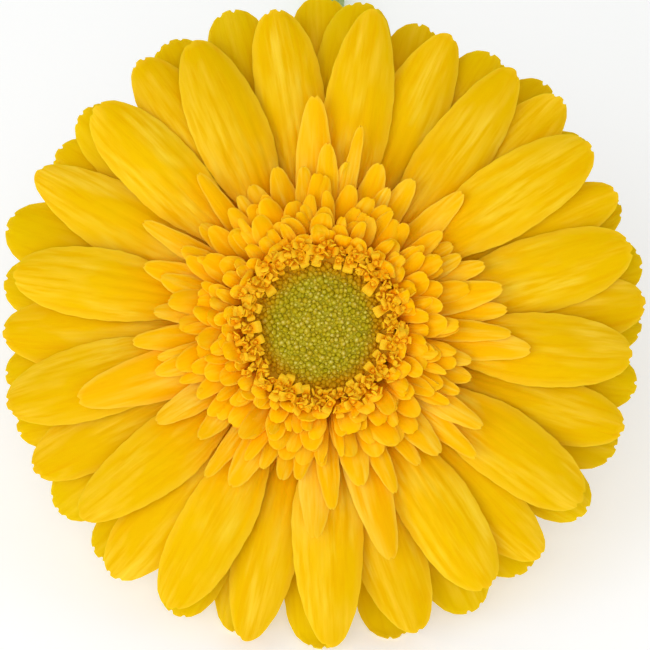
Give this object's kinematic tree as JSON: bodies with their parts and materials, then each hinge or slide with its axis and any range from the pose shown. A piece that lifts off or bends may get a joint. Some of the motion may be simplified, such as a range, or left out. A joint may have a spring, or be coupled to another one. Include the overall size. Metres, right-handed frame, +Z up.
{
  "type": "cut mini gerbera flower",
  "caption": "Yellow, full gerbera bloom with a green eye on its bent, leafless scape, cut and lying on a table with its lowest petals pressed to the surface.",
  "frame": {"origin": "centre of the bounding box's underside, on the surface that the flower lies on", "axes": "+Z up from that surface; +Y along the scape from the bloom to the cut end; the face of the bloom looks towards -Y, 40 degrees above the horizon"},
  "size_m": [0.0799, 0.2332, 0.065],
  "materials": {
    "petal": "satin",
    "back_petal": "satin",
    "trans_floret": "satin",
    "disc_floret": "satin",
    "bud": "matte",
    "bract": "matte",
    "scape": "satin"
  },
  "bodies": {
    "root": {"scape": "scape", "involucre": "bract", "hind_rays": "back_petal", "back_rays": "back_petal", "middle_rays": "petal", "front_rays": "petal", "short_rays": "petal", "trans_florets": "trans_floret", "open_disc_florets": "disc_floret", "disc_buds": "bud"}
  },
  "joints": []
}
